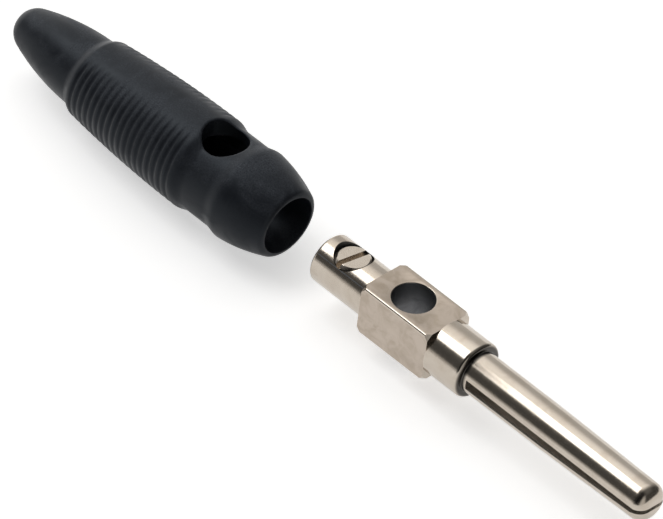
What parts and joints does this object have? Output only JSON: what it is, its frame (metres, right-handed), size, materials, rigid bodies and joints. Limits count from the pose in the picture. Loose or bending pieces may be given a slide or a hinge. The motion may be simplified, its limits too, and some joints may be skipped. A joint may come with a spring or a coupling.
{
  "type": "banana plug",
  "caption": "Single-pole cable plug with a split pin, square cross-drilled contact block, wire clamp screw and a ribbed push-on insulating sleeve.",
  "frame": {"origin": "on the plug's axis, in the front face of the contact's collar", "axes": "+X along the plug's axis towards the pin's end, +Z along the cross holes and the clamp screw, upwards"},
  "size_m": [0.0813, 0.0096, 0.0096],
  "materials": {
    "sleeve_plastic": "satin moulded near-black plastic",
    "nickel_plate": "nickel-plated brass, satin flats and polished turned faces",
    "screw_plate": "nickel-plated brass, turned"
  },
  "bodies": {
    "contact": {"contact_body": "nickel_plate"},
    "sleeve": {"insulating_sleeve": "sleeve_plastic"},
    "screw": {"clamp_screw": "screw_plate"}
  },
  "joints": [
    {"name": "sleeve_slide", "type": "slide", "parent": "contact", "child": "sleeve", "axis": [1, 0, 0], "range_m": [0, 0.0245]},
    {"name": "screw_turn", "type": "hinge", "parent": "contact", "child": "screw", "pos_m": [-0.0162, 0, 0], "axis": [0, 0, 1], "range_deg": [-720, 1080]}
  ]
}
